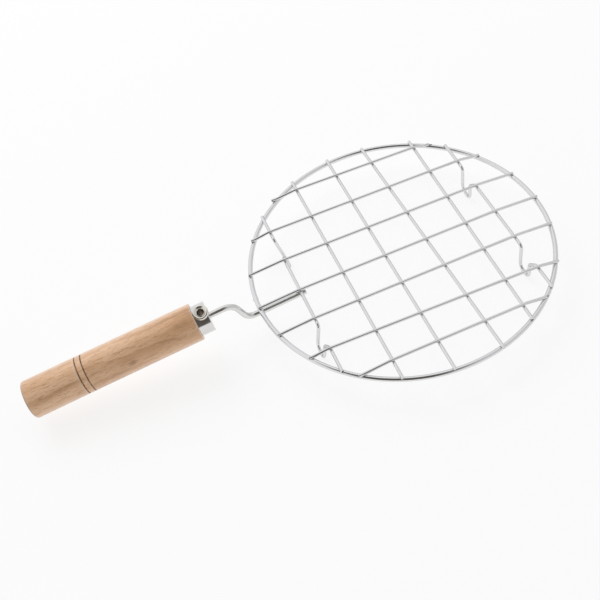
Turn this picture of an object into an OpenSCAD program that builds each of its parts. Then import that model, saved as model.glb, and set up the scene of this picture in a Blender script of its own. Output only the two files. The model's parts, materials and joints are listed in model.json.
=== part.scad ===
// Round wire grill rack with a turned wooden handle.
// Seven long wires lie on six cross wires, and the cross wires lie on a round rim wire. Every
// crossing is a resistance weld. The first and last cross wires are bent down into two feet
// each. A cranked steel rod is welded under the rim and carries the handle: its flattened end
// sits inside a steel ferrule and a wooden tenon, and one hollow rivet holds all three.
//
// Origin: centre of the rim, on the surface that the feet stand on.
// +X runs along the long wires, away from the handle, and +Z is up.

/* [Rim] */
// Radius of the rim ring, to the middle of its wire
rim_r = 110; // [100:1:120]
// Thickness of the rim wire
rim_d = 3.4; // [3:0.1:3.6]
// Height of the middle of the rim wire above the ground
rim_height = 21; // [18:0.5:30]
// Place of the butt weld on the rim, as an angle from +X
rim_weld_angle = 176; // [172:1:177]

/* [Grid] */
// Thickness of the long wires
long_d = 2.2; // [1.8:0.1:2.2]
// Thickness of the cross wires
cross_d = 2.4; // [2:0.1:2.4]
// Place across the rack of each long wire
long_y = [89.2, 58.5, 28.2, -2.2, -30.2, -60.4, -86.2]; // -92 to 92, at least 10 apart
// How far each long wire is turned from true, in degrees
long_skew = [-1.5, -0.5, -0.2, 0.4, 0.6, -0.9, 0.7]; // -1.5 to 1.5
// Place along the rack of each cross wire
cross_x = [-78.6, -44.9, -11.5, 21.1, 53.2, 77.3]; // -80 to 80, at least 15 apart
// How far each cross wire is turned from true, in degrees
cross_skew = [0.1, 0, 0.1, 1.8, -0.5, 0.3]; // -2 to 2
// How far one wire sinks into the next at a weld
weld_sink = 0.2; // [0.1:0.05:0.2]

/* [Feet] */
// Width of a foot, between the middles of its two sides
foot_width = 12; // [11:0.5:13]
// Place across the rack where each foot turns down, for the first and the last cross wire
foot_y = [[51, -37], [50.3, -38.5]]; // 45 to 55 and -40 to -35
// How far each foot leans along the rack, in degrees
foot_lean = [[13, -9], [0, 0]]; // -15 to 15
// Run and fall of the slope on which a foot comes back up to the grid
foot_ramp = 8; // [6:0.5:8]

/* [Handle rod] */
// Thickness of the rod
rod_d = 4.3; // [3.6:0.1:4.4]
// Place of the rod across the rack
rod_y = -1.9; // [-3:0.1:0]
// How far the rod reaches past the first cross wire
rod_reach = 4; // [3:0.5:10]
// Bottom corner of the crank: place along the rack, and height below the rim wire
crank_low = [-119.7, 4.2]; // -121 to -119 and 4 to 5
// Top corner of the crank: place along the rack, and height above the rim wire
crank_top = [-128, 16]; // -130 to -127 and 14 to 18
// Bend radius at the bottom and at the top of the crank
crank_bends = [7.5, 9.5]; // 6 to 10

/* [Handle] */
// Angle at which the handle falls away from the rack
handle_tilt = 5.8; // [3:0.1:8]
// Length of the wood that shows, past the ferrule
wood_length = 127; // [110:1:140]
// Width of the wood at the butt and at the ferrule
wood_d = [27.7, 27.2]; // 26 to 29
// Place of each burnt groove, from the butt
groove_at = [40.5, 45]; // 20 to 60, at least 2 apart
// Width of a groove
groove_width = 0.9; // [0.6:0.1:1.2]
// Outer width of the ferrule
ferrule_d = 22.2; // [21:0.1:24]
// Length of the ferrule
ferrule_length = 10; // [10:0.5:14]
// Wall thickness of the ferrule
ferrule_wall = 0.8; // [0.6:0.1:1]

/* [Rivet] */
// Width of the hole through the rivet
rivet_bore_d = 5; // [4.6:0.1:5]
// Wall thickness of the rivet
rivet_wall = 0.7; // [0.6:0.1:0.8]
// Width of the rivet's rolled heads, above and below
rivet_head_d = [11.2, 8.4]; // 9.6 to 11.2 and 8.2 to 8.4
// How far the heads stand above the ferrule
rivet_proud = 1.3; // [1:0.1:1.4]
// Place of the rivet, from the ferrule's front
rivet_at = 4.3; // [4.2:0.05:4.35]
// How far the rivet is turned about the handle, from upright
rivet_roll = 16; // [0:1:30]

/* [Hidden] */
$fn = 64;
LONG_COUNT = len(long_y);
CROSS_COUNT = len(cross_x);

STEEL = [0.78, 0.79, 0.8];
POLISHED = [0.86, 0.86, 0.87];
BEECH = [0.78, 0.6, 0.43];

// heights of the wires' middles
cross_z = rim_height + rim_d / 2 + cross_d / 2 - weld_sink;
long_z = cross_z + cross_d / 2 + long_d / 2 - weld_sink;
long_seat_z = rim_height + rim_d / 2 + long_d / 2 - weld_sink;
foot_z = cross_d / 2;

// wires are cut this far past the middle of the rim wire
wire_reach = 1.2;
wire_end_r = rim_r + wire_reach;
// a long wire that meets a cross wire closer to the rim than this isn't laid over it
crossing_margin = 5;
// level stretch of a long wire past its last cross wire, and before the rim
level_past = 1.5;
seat_half = 2;
// length that each of its slight bends takes, from the bend's corner
joggle_reach = 1;
// bends of a foot: turning down, its two bottom corners, onto its slope and off it
foot_bends = [3, 5, 5, 4, 5];
// a bend is a hair thicker than the straights, which run a little way into it, so that they
// join cleanly
bend_swell = 0.02;
bend_overlap = 0.2;

// lump of metal squeezed out where the rim wire's ends are welded together
rim_weld_proud = 0.25;
rim_weld_d = rim_d + 2 * rim_weld_proud;
rim_weld_arc = 1.6;

// the rod is welded under the rim and under the first cross wire
rod_at_rim_z = rim_height - (rim_d / 2 + rod_d / 2 - weld_sink);
rod_at_cross_z = cross_z - (cross_d / 2 + rod_d / 2 - weld_sink);
rod_slope = (rod_at_cross_z - rod_at_rim_z) / (rim_r + cross_x[0]);
rod_tip_x = cross_x[0] + rod_reach;

// middle of the ferrule's front face
handle_from_crank = 17.3;
handle_front = [
    crank_top[0] - handle_from_crank,
    rod_y,
    rim_height + crank_top[1] - handle_from_crank * tan(handle_tilt)
];

handle_axis = [-cos(handle_tilt), 0, -sin(handle_tilt)];

// handle, measured from the ferrule's front face towards the butt
butt_at = ferrule_length + wood_length;
butt_round = 2;
shoulder_round = 0.7;
tenon_r = ferrule_d / 2 - ferrule_wall;
ferrule_round = 0.6;
groove_depth = 0.5;
fit_gap = 0.05;

// the rod's flattened end, which takes the rivet
tang_width = 9;
tang_thickness = 1.4;
tang_end = 11;
tang_corner = 2.5;
tang_start = ferrule_wall + 0.1;
rod_inside = 1.3;
rivet_tube_r = rivet_bore_d / 2 + rivet_wall;
rivet_roll_r = rivet_proud / 2;
// a head reaches down this far from its top, into the curved ferrule
rivet_skirt = 2.9;

// cutting shapes run this far past the surface that they cut
cut_past = 1;

function unit(v) = v / norm(v);

// any direction square to v
function square_to(v) = unit(cross(v, abs(v[2]) < 0.9 * norm(v) ? [0, 0, 1] : [1, 0, 0]));

function turn_between(u, v) = acos(max(-1, min(1, unit(u) * unit(v))));

// length of wire that a bend of radius r takes from each side of the corner at points[i]
function bend_reach(points, radii, i) =
    i == 0 || i == len(points) - 1
        ? 0
        : radii[i - 1] * tan(turn_between(points[i] - points[i - 1], points[i + 1] - points[i]) / 2);

// moves and turns its children so that their X, Y and Z axes lie along x, y and z at origin
module on_axes(x, y, z, origin) {
    multmatrix([
        [x[0], y[0], z[0], origin[0]],
        [x[1], y[1], z[1], origin[1]],
        [x[2], y[2], z[2], origin[2]],
        [0, 0, 0, 1]
    ])
        children();
}

module straight_wire(from, to, d) {
    along = unit(to - from);
    side = square_to(along);
    on_axes(side, cross(along, side), along, from) cylinder(d = d, h = norm(to - from));
}

// a bend that starts at point start, heading along u, and ends heading along v
module wire_bend(start, u, v, r, d) {
    inward = unit(v - u * (u * v));
    on_axes(-inward, u, cross(u, inward), start + r * inward)
        rotate_extrude(angle = turn_between(u, v))
            translate([r, 0]) circle(d = d + bend_swell);
}

// round wire through corner points, with one bend radius for each inner corner
module bent_wire(points, radii, d) {
    last = len(points) - 1;
    for (i = [0:last - 1]) {
        u = unit(points[i + 1] - points[i]);
        from = points[i] + u * bend_reach(points, radii, i);
        to = points[i + 1] - u * bend_reach(points, radii, i + 1);
        straight_wire(
            i > 0 ? from - u * bend_overlap : from,
            i + 1 < last ? to + u * bend_overlap : to,
            d
        );
        if (i + 1 < last)
            wire_bend(to, u, unit(points[i + 2] - points[i + 1]), radii[i], d);
    }
}

function half_chord(offset, r) = sqrt(r * r - offset * offset);

// cross wires that a long wire at y lies over
function crossings(y) = [for (x = cross_x) if (norm([x, y]) < rim_r - crossing_margin) x];

// one end of a long wire, from its last level point outwards; side is -1 or 1
function long_end(y, side) =
    let (
        over = crossings(y),
        level_to = side > 0 ? max(over) + level_past : min(over) - level_past,
        seat_from = side * (half_chord(y, rim_r) - seat_half),
        cut = side * half_chord(y, wire_end_r)
    )
    [[level_to, long_z], [seat_from, long_seat_z], [cut, long_seat_z]];

function reversed(list) = [for (i = [len(list) - 1:-1:0]) list[i]];

module rim_ring() {
    color(STEEL) translate([0, 0, rim_height]) {
        rotate_extrude() translate([rim_r, 0]) circle(d = rim_d);
        rotate([0, 0, rim_weld_angle - rim_weld_arc / 2])
            rotate_extrude(angle = rim_weld_arc)
                translate([rim_r, 0]) circle(d = rim_weld_d);
    }
}

// bend radii that make every bend of a wire take the same length
function joggle_radii(points) =
    [for (i = [1:len(points) - 2])
        joggle_reach / tan(turn_between(points[i] - points[i - 1], points[i + 1] - points[i]) / 2)];

module long_wire(i) {
    y = long_y[i];
    ends = concat(reversed(long_end(y, -1)), long_end(y, 1));
    points = [for (p = ends) [p[0], 0, p[1]]];
    color(STEEL)
        translate([0, y, 0])
            rotate([0, 0, long_skew[i]])
                bent_wire(points, joggle_radii(points), long_d);
}

// corners of one foot, as [place across the rack, offset along it, height]
function foot_corners(y, lean) =
    let (
        drop = (cross_z - foot_z) / cos(lean),
        far = y - foot_width,
        flat = [
            [y, 0],
            [y, drop],
            [far, drop],
            [far, foot_ramp],
            [far - foot_ramp, 0]
        ]
    )
    [for (p = flat) [p[1] * sin(lean), p[0], cross_z - p[1] * cos(lean)]];

module cross_wire(i) {
    has_feet = i == 0 || i == CROSS_COUNT - 1;
    foot_row = i == 0 ? 0 : 1;
    reach = half_chord(cross_x[i], wire_end_r);
    feet = has_feet
        ? [for (k = [0:1]) each foot_corners(foot_y[foot_row][k], foot_lean[foot_row][k])]
        : [];
    points = concat([[0, reach, cross_z]], feet, [[0, -reach, cross_z]]);
    color(STEEL)
        translate([cross_x[i], 0, 0])
            rotate([0, 0, cross_skew[i]])
                bent_wire(points, has_feet ? concat(foot_bends, foot_bends) : [], cross_d);
}

// places its children on the handle: +Z runs from the ferrule's front face to the butt
module on_handle() {
    translate(handle_front) rotate([0, -90 - handle_tilt, 0]) children();
}

// places its children on the rivet: +Z runs up along its hole from the handle's middle
module on_rivet() {
    on_handle() translate([0, 0, rivet_at]) rotate([0, 0, -rivet_roll]) rotate([0, 90, 0]) children();
}

module rivet_hole() {
    translate([0, 0, -ferrule_d]) cylinder(r = rivet_tube_r, h = 2 * ferrule_d);
}

// the rod's flattened end, with gap all round for the slot that takes it
module tang_shape(gap) {
    start = tang_start - gap;
    translate([0, 0, -tang_thickness / 2 - gap])
        linear_extrude(tang_thickness + 2 * gap) {
            translate([-tang_width / 2 - gap, start])
                square([tang_width + 2 * gap, tang_end - tang_corner - start]);
            for (side = [-1, 1])
                translate([side * (tang_width / 2 - tang_corner), tang_end - tang_corner])
                    circle(r = tang_corner + gap);
            translate([-tang_width / 2 + tang_corner, start])
                square([tang_width - 2 * tang_corner, tang_end + gap - start]);
        }
}

// the flat tang lies square to the rivet
module on_tang() {
    on_handle() rotate([0, 0, -rivet_roll]) rotate([90, 0, 90]) children();
}

module handle_rod() {
    seat = rim_height;
    points = [
        [rod_tip_x, rod_y, rod_at_cross_z + rod_slope * rod_reach],
        [crank_low[0], rod_y, seat - crank_low[1]],
        [crank_top[0], rod_y, seat + crank_top[1]],
        handle_front + rod_inside * handle_axis
    ];
    color(STEEL) {
        bent_wire(points, crank_bends, rod_d);
        difference() {
            on_tang() tang_shape(0);
            on_rivet() rivet_hole();
        }
    }
}

module ferrule() {
    outer_r = ferrule_d / 2;
    color(POLISHED) difference() {
        on_handle() difference() {
            rotate_extrude() {
                translate([0, ferrule_round]) square([outer_r, ferrule_length - ferrule_round]);
                square([outer_r - ferrule_round, ferrule_length]);
                translate([outer_r - ferrule_round, ferrule_round]) circle(r = ferrule_round);
            }
            translate([0, 0, ferrule_wall]) cylinder(r = tenon_r, h = ferrule_length);
            translate([0, 0, -cut_past]) cylinder(d = rod_d + 2 * fit_gap, h = ferrule_length);
        }
        on_rivet() rivet_hole();
    }
}

// radius of the wood at a distance from the butt
function wood_r(from_butt) = (wood_d[0] + (wood_d[1] - wood_d[0]) * from_butt / wood_length) / 2;

// half outline of the turned wood, as [radius, place from the ferrule's front]
module wood_outline() {
    butt_r = wood_d[0] / 2;
    shoulder_r = wood_d[1] / 2;
    translate([0, ferrule_wall]) square([tenon_r, ferrule_length]);
    polygon([
        [0, ferrule_length],
        [shoulder_r - shoulder_round, ferrule_length],
        [shoulder_r, ferrule_length + shoulder_round],
        [butt_r, butt_at - butt_round],
        [butt_r - butt_round, butt_at],
        [0, butt_at]
    ]);
    translate([shoulder_r - shoulder_round, ferrule_length + shoulder_round])
        circle(r = shoulder_round);
    translate([butt_r - butt_round, butt_at - butt_round]) circle(r = butt_round);
}

// a V with its point inwards, as wide at the wood's surface as the groove
module groove_outline() {
    half_mouth = groove_width / 2 * (groove_depth + cut_past) / groove_depth;
    polygon([[-groove_depth, 0], [cut_past, -half_mouth], [cut_past, half_mouth]]);
}

module wood_handle() {
    color(BEECH) difference() {
        on_handle() difference() {
            rotate_extrude() difference() {
                wood_outline();
                for (from_butt = groove_at)
                    translate([wood_r(from_butt), butt_at - from_butt])
                        groove_outline();
            }
            cylinder(r = rod_d / 2 + fit_gap, h = rod_inside + fit_gap);
        }
        on_tang() tang_shape(fit_gap);
        on_rivet() rivet_hole();
    }
}

// a rolled head of width d: a flat ring with round edges that sits down on the ferrule
module rivet_head(d) {
    top = ferrule_d / 2 + rivet_proud;
    rotate_extrude() {
        for (r = [rivet_bore_d / 2 + rivet_roll_r, d / 2 - rivet_roll_r])
            translate([r, top - rivet_roll_r]) circle(r = rivet_roll_r);
        translate([rivet_bore_d / 2 + rivet_roll_r, top - rivet_skirt])
            square([d / 2 - rivet_bore_d / 2 - 2 * rivet_roll_r, rivet_skirt]);
        translate([rivet_bore_d / 2, top - rivet_skirt])
            square([d / 2 - rivet_bore_d / 2, rivet_skirt - rivet_roll_r]);
    }
}

module hollow_rivet() {
    half_length = ferrule_d / 2;
    color(POLISHED) {
        on_rivet() difference() {
            translate([0, 0, -half_length]) cylinder(r = rivet_tube_r, h = 2 * half_length);
            translate([0, 0, -ferrule_d]) cylinder(d = rivet_bore_d, h = 2 * ferrule_d);
        }
        difference() {
            on_rivet() for (k = [0, 1]) rotate([180 * k, 0, 0]) rivet_head(rivet_head_d[k]);
            on_handle() translate([0, 0, -ferrule_length])
                cylinder(d = ferrule_d, h = 3 * ferrule_length);
        }
    }
}

rim_ring();
for (i = [0:LONG_COUNT - 1])
    long_wire(i);
for (i = [0:CROSS_COUNT - 1])
    cross_wire(i);
handle_rod();
ferrule();
wood_handle();
hollow_rivet();
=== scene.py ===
# %% [markdown]
# # A round grill rack with a turned wooden handle
# The real rack is welded from drawn stainless wire. Seven thin wires lie on six thicker ones,
# and those lie on a round rim. A cranked rod is welded underneath and ends in the handle, where
# one hollow rivet pins rod, wood and a pressed steel cap together.
#
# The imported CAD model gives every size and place, so it is loaded first and nothing is moved.
# Its meshes are coarse, though: a collision model needs no round wires. So each CAD node is
# replaced here by a finer mesh that is swept or turned in code along the same lines.

# %% Load the frame
import json
import math

import bpy
import numpy as np
from mathutils import Matrix, Vector


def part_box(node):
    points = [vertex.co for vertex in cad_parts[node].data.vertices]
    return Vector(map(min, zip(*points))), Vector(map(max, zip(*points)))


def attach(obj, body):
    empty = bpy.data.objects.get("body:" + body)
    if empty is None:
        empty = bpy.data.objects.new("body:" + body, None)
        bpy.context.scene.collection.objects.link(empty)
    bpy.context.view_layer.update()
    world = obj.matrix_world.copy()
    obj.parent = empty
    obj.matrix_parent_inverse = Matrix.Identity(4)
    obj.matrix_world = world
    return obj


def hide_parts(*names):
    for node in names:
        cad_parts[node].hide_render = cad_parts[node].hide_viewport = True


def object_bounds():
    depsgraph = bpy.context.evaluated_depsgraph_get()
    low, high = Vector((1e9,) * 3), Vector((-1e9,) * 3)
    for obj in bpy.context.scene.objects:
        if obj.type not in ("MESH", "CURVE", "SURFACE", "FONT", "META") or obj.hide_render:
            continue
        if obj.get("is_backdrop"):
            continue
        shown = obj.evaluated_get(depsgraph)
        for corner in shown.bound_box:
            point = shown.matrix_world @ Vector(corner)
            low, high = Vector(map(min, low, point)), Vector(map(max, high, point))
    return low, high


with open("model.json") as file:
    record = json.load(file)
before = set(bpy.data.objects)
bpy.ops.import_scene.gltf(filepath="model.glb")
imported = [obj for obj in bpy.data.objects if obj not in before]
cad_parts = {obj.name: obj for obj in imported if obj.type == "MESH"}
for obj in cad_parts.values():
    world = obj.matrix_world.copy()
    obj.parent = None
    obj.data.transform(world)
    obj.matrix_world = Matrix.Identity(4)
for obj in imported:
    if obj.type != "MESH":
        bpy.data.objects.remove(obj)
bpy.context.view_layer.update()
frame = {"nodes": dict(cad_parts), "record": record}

MM = 0.001
UP = Vector((0, 0, 1))

# %% [markdown]
# ## The camera
# A catalogue picture is taken from high up with a short telephoto lens, so that the round rim
# stays close to a true ellipse. The camera could be turned by hand until it looks right. Here
# it is aimed at a point and then rolled, because those two steps can be read and changed apart.

# %% Camera
CAMERA_PLACE = Vector((-0.1633, -0.4169, 0.5485))
CAMERA_AIM = Vector((-0.0813, -0.007, 0.02))
CAMERA_ROLL_DEG = -12.8
CAMERA_LENS_MM = 56.7
SENSOR_MM = 36


def add_object(name, data):
    """Puts an object with this data in the scene."""
    added = bpy.data.objects.new(name, data)
    bpy.context.scene.collection.objects.link(added)
    return added


lens = bpy.data.cameras.new("camera")
lens.lens = CAMERA_LENS_MM
lens.sensor_width = SENSOR_MM
camera = add_object("camera", lens)
level = (CAMERA_AIM - CAMERA_PLACE).to_track_quat("-Z", "Y").to_matrix()
turned = level @ Matrix.Rotation(math.radians(CAMERA_ROLL_DEG), 3, "Z")
camera.matrix_world = Matrix.Translation(CAMERA_PLACE) @ turned.to_4x4()
bpy.context.scene.camera = camera
print("camera stands", round(CAMERA_PLACE.z, 2), "m above the table")

# %% [markdown]
# ## Building nodes in code
# A material is a small graph. Adding each node with three or four lines would bury the idea of
# the material, so these helpers add a node, fill its inputs and hand back the socket to use.

# %% Node helpers
NODE_GAP = 220


def connect(tree, node, inputs):
    """Gives each input a value of its own, or a link if it is given another node's socket."""
    for name, value in inputs.items():
        if isinstance(value, bpy.types.NodeSocket):
            tree.links.new(value, node.inputs[name])
        else:
            node.inputs[name].default_value = value


def put(tree, kind, inputs=None, **settings):
    """Adds a node with these settings and inputs."""
    node = tree.nodes.new("ShaderNode" + kind)
    node.location = (NODE_GAP * len(tree.nodes), 0)
    for name, value in settings.items():
        setattr(node, name, value)
    connect(tree, node, inputs or {})
    return node


def calculate(tree, operation, first, second=0.0):
    """A Math node's answer."""
    return put(tree, "Math", {0: first, 1: second}, operation=operation).outputs[0]


def weighted(tree, *terms):
    """The sum of several values, each times its own weight."""
    parts = [
        value if weight == 1 else calculate(tree, "MULTIPLY", value, weight)
        for value, weight in terms
    ]
    total = parts[0]
    for part in parts[1:]:
        total = calculate(tree, "ADD", total, part)
    return total


def on_vectors(tree, operation, first, second=(0, 0, 0)):
    """A Vector Math node's answer, which is a single number for a length or a dot product."""
    answers = put(tree, "VectorMath", {0: first, 1: second}, operation=operation).outputs
    return answers["Value" if operation in ("LENGTH", "DOT_PRODUCT") else "Vector"]


def remapped(tree, value, low, high, to_low, to_high):
    """Goes smoothly from to_low to to_high while the value goes from low to high."""
    ends = {"From Min": low, "From Max": high, "To Min": to_low, "To Max": to_high}
    return put(tree, "MapRange", {"Value": value} | ends, interpolation_type="SMOOTHSTEP").outputs[0]


def mixed(tree, share, first, second):
    """A blend of two colours."""
    factor, a, b, result = 0, 6, 7, 2
    node = put(tree, "Mix", {factor: share, a: first, b: second}, data_type="RGBA")
    return node.outputs[result]


def noise(tree, place, per_metre, detail=2.0, rough=0.5, distortion=0.0, answer="Fac"):
    """Soft random values around 0.5, with this many spots in a metre, or so many along each axis."""
    scale = per_metre if isinstance(per_metre, tuple) else (per_metre,) * 3
    inputs = {"Vector": on_vectors(tree, "MULTIPLY", place, scale), "Scale": 1.0}
    inputs |= {"Detail": detail, "Roughness": rough, "Distortion": distortion}
    return put(tree, "TexNoise", inputs).outputs[answer]


def bumped(tree, height, distance):
    """A normal that tilts as if the surface rose this distance, in metres, where height is 1."""
    inputs = {"Height": height, "Distance": distance, "Strength": 1.0}
    return put(tree, "Bump", inputs).outputs["Normal"]


def mark(tree, name, answer="Fac"):
    """Reads a fact that the mesh keeps for each of its points."""
    return put(tree, "Attribute", attribute_name=name).outputs[answer]


def new_material(name):
    """An empty material with a Principled shader on its output."""
    material = bpy.data.materials.new(name)
    material.use_nodes = True
    tree = material.node_tree
    return material, tree, tree.nodes["Principled BSDF"]


print("node helpers ready")

# %% [markdown]
# ## Light and table
# Bright metal shows its surroundings more than its own colour. A white room all round would
# make every wire vanish, so a white studio has one dark side: here it is the side on which the
# camera stands. The wires reflect it as a thin dark line. The room is made as a world colour
# that depends only on direction, because that stays free of noise. Two soft dark patches make
# up the dark side, one high and one low.

# %% Studio room
ROOM_WHITE, WINDOW_WHITE = (0.68, 0.68, 0.69, 1), (0.95, 0.95, 0.97, 1)
DARK_SIDE = (0.1, 0.09, 0.078, 1)


def toward(around_deg, up_deg):
    """A direction, as degrees round from +X and degrees up from level."""
    around, up = math.radians(around_deg), math.radians(up_deg)
    level = math.cos(up)
    return Vector((math.cos(around) * level, math.sin(around) * level, math.sin(up)))


world = bpy.data.worlds.new("studio")
bpy.context.scene.world = world
world.use_nodes = True
sky = world.node_tree
looking = put(sky, "TexCoord").outputs["Generated"]


def patch(color_below, middle, from_deg, to_deg, color):
    """Paints a soft round patch on the room, from its outer edge to where it is full."""
    facing = on_vectors(sky, "DOT_PRODUCT", looking, middle)
    outer, inner = math.cos(math.radians(from_deg)), math.cos(math.radians(to_deg))
    return mixed(sky, remapped(sky, facing, outer, inner, 0, 1), color_below, color)


room = patch(ROOM_WHITE, toward(130, 30), 100, 30, WINDOW_WHITE)
room = patch(room, toward(-122, 60), 40, 25, DARK_SIDE)
room = patch(room, toward(-115, 18), 36, 20, DARK_SIDE)
backdrop = sky.nodes["Background"]
sky.links.new(room, backdrop.inputs["Color"])
bpy.context.scene.view_settings.view_transform = "Standard"
print("the room has one bright side and two dark patches")

# %% [markdown]
# The table is a white acrylic sheet that is lit from below, as for catalogue pictures. Most of
# its brightness is its own glow, so the thin wires throw almost no shadow on it. One big soft
# lamp behind the rack gives the wood a bright upper edge. It is kept out of mirror reflections,
# where it would be a hard square.

# %% Soft lamp and table
LAMP_PLACE = Vector((-0.4, 1.3, 1.5))
LAMP_SIDE = 1.2
LAMP_POWER = 12.0
TABLE_SIDE = 40.0
TABLE_COLOR = (0.22, 0.22, 0.22, 1)
TABLE_GLOW = 0.79

lamp_data = bpy.data.lights.new("soft_lamp", "AREA")
lamp_data.shape = "SQUARE"
lamp_data.size = LAMP_SIDE
lamp_data.energy = LAMP_POWER
lamp = add_object("soft_lamp", lamp_data)
lamp.location = LAMP_PLACE
lamp.rotation_mode = "QUATERNION"
lamp.rotation_quaternion = (CAMERA_AIM - LAMP_PLACE).to_track_quat("-Z", "Y")
lamp.visible_glossy = False

half_table = TABLE_SIDE / 2
table_mesh = bpy.data.meshes.new("table")
table_mesh.from_pydata(
    [(x * half_table, y * half_table, 0) for x, y in ((-1, -1), (1, -1), (1, 1), (-1, 1))],
    [],
    [(0, 1, 2, 3)],
)
table = add_object("table", table_mesh)
table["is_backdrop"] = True
table_paint, tree, shader = new_material("pale_table")
table_mesh.materials.append(table_paint)
connect(tree, shader, {
    "Base Color": TABLE_COLOR,
    "Roughness": 0.9,
    "Specular IOR Level": 0.1,
    "Emission Color": (1, 1, 1, 1),
    "Emission Strength": TABLE_GLOW,
})
print("table is", TABLE_SIDE, "m wide")

# %% [markdown]
# ## Where the wires run
# The places of the straight wires are read from the CAD meshes: the middle of each cut end
# gives the wire's line. Only thicknesses and bends are named here, in the CAD model's numbers.

# %% Read the wire ends
RIM_WIRE, CROSS_WIRE, LONG_WIRE, ROD_WIRE = 3.4 * MM, 2.4 * MM, 2.2 * MM, 4.3 * MM
END_SLICE = 0.15 * MM
LONG_NODES = sorted(n for n in frame["nodes"] if n.startswith("long_wire_"))
CROSS_NODES = sorted(n for n in frame["nodes"] if n.startswith("cross_wire_"))


def wire_ends(node):
    """The middles of a CAD wire's two cut ends, lower coordinate first."""
    places = np.array([v.co for v in frame["nodes"][node].data.vertices])
    axis = int(np.argmax(np.ptp(places, axis=0)))
    ends = []
    for at, side in ((places[:, axis].min(), 1), (places[:, axis].max(), -1)):
        cut = places[(places[:, axis] - at) * side < END_SLICE]
        ends.append(Vector((cut.min(axis=0) + cut.max(axis=0)) / 2))
    return ends


rim_low, rim_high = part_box("rim_ring")
rim_radius = rim_high.y - RIM_WIRE / 2
rim_z = (rim_low.z + rim_high.z) / 2
wires = {node: wire_ends(node) for node in LONG_NODES + CROSS_NODES}
cross_z = wires[CROSS_NODES[1]][0].z
long_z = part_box(LONG_NODES[3])[1].z - LONG_WIRE / 2
seat_z = wires[LONG_NODES[3]][0].z
print("rim radius", round(rim_radius / MM, 1), "mm at", round(rim_z / MM, 1), "mm above the table")
print(len(wires), "grid wires, welded", round((long_z - cross_z) / MM, 2), "mm apart")

# %% [markdown]
# A wire that was bent on a pin keeps its thickness and follows a true arc. `bent_line` turns a
# few corner points and bend radii into closely spaced points. A curve object with bezier
# handles could do the same, but its arcs would only be close to round.

# %% Bent lines
BEND_STEP_DEG = 6
LINE_STEP = 1.0 * MM


def filled(line, step):
    """The same line with extra points, so that no gap is longer than step."""
    points = [line[0]]
    for start, end in zip(line, line[1:]):
        count = max(1, math.ceil((end - start).length / step))
        points += [start.lerp(end, k / count) for k in range(1, count + 1)]
    return points


def bent_line(corners, bends, step=LINE_STEP):
    """Points along straights, with an arc of the given radius at each inner corner."""
    line = [corners[0]]
    for before, corner, after, radius in zip(corners, corners[1:], corners[2:], bends):
        into, out = (corner - before).normalized(), (after - corner).normalized()
        turn = into.angle(out)
        inward = (out - into * out.dot(into)).normalized()
        centre = corner - into * radius * math.tan(turn / 2) + inward * radius
        count = max(3, math.ceil(math.degrees(turn) / BEND_STEP_DEG))
        for angle in (turn * k / count for k in range(count + 1)):
            line.append(centre + (into * math.sin(angle) - inward * math.cos(angle)) * radius)
    line.append(corners[-1])
    return filled(line, step)


print("bends are drawn in steps of", BEND_STEP_DEG, "degrees")

# %% [markdown]
# The long wires lie level on the cross wires. Past the last crossing each end is pressed down
# onto the rim while the weld is still soft, so it makes two slight bends.

# %% Lines of the long wires
CROSSING_MARGIN = 5 * MM
LEVEL_PAST = 1.5 * MM
SEAT_HALF = 2 * MM
JOGGLE_REACH = 1 * MM


def meeting(first, second):
    """Where two wires cross when seen from above."""
    a, b, c, d = (end.to_2d() for end in (*first, *second))
    u, v = b - a, d - c
    share = (c - a).cross(v) / u.cross(v)
    return a + u * share


def crossings_of(node):
    """The cross wires that a long wire lies on, and where."""
    found = [(cross, meeting(wires[node], wires[cross])) for cross in CROSS_NODES]
    return [(cross, at) for cross, at in found if at.length < rim_radius - CROSSING_MARGIN]


def joggled_line(node):
    """A long wire's line, with both ends pressed down onto the rim."""
    low_end, high_end = wires[node]
    heading = (high_end - low_end).normalized()
    past = heading * LEVEL_PAST
    seat = heading * (SEAT_HALF + (low_end.to_2d().length - rim_radius))
    over = [at for _, at in crossings_of(node)]
    first, last = Vector((*over[0], long_z)) - past, Vector((*over[-1], long_z)) + past
    corners = [low_end, low_end + seat, first, last, high_end - seat, high_end]
    turns = [(b - a).angle(c - b) for a, b, c in zip(corners, corners[1:], corners[2:])]
    return bent_line(corners, [JOGGLE_REACH / math.tan(turn / 2) for turn in turns])


lines = {node: joggled_line(node) for node in LONG_NODES}
print({node: len(crossings_of(node)) for node in LONG_NODES}, "crossings")

# %% [markdown]
# The first and last cross wires carry the feet. Each foot is a loop of the same wire: straight
# down, across on the table, up, and back to the grid on a slope. On the first wire both feet
# lean a little, one inwards and one outwards, as hand bending leaves them.

# %% Lines of the cross wires
FOOT_WIDTH, FOOT_RAMP = 12 * MM, 8 * MM
FOOT_BENDS = [bend * MM for bend in (3, 5, 5, 4, 5)]
FEET = {
    CROSS_NODES[0]: ((51 * MM, 13), (-37 * MM, -9)),
    CROSS_NODES[-1]: ((50.3 * MM, 0), (-38.5 * MM, 0)),
}


def foot_corners(turn_down, lean_deg):
    """One foot's corners as (offset along the rack, place across it, height)."""
    lean = math.radians(lean_deg)
    drop = (cross_z - CROSS_WIRE / 2) / math.cos(lean)
    far = turn_down - FOOT_WIDTH
    flat = [(turn_down, 0), (turn_down, drop), (far, drop), (far, FOOT_RAMP), (far - FOOT_RAMP, 0)]
    return [Vector((d * math.sin(lean), y, cross_z - d * math.cos(lean))) for y, d in flat]


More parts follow.
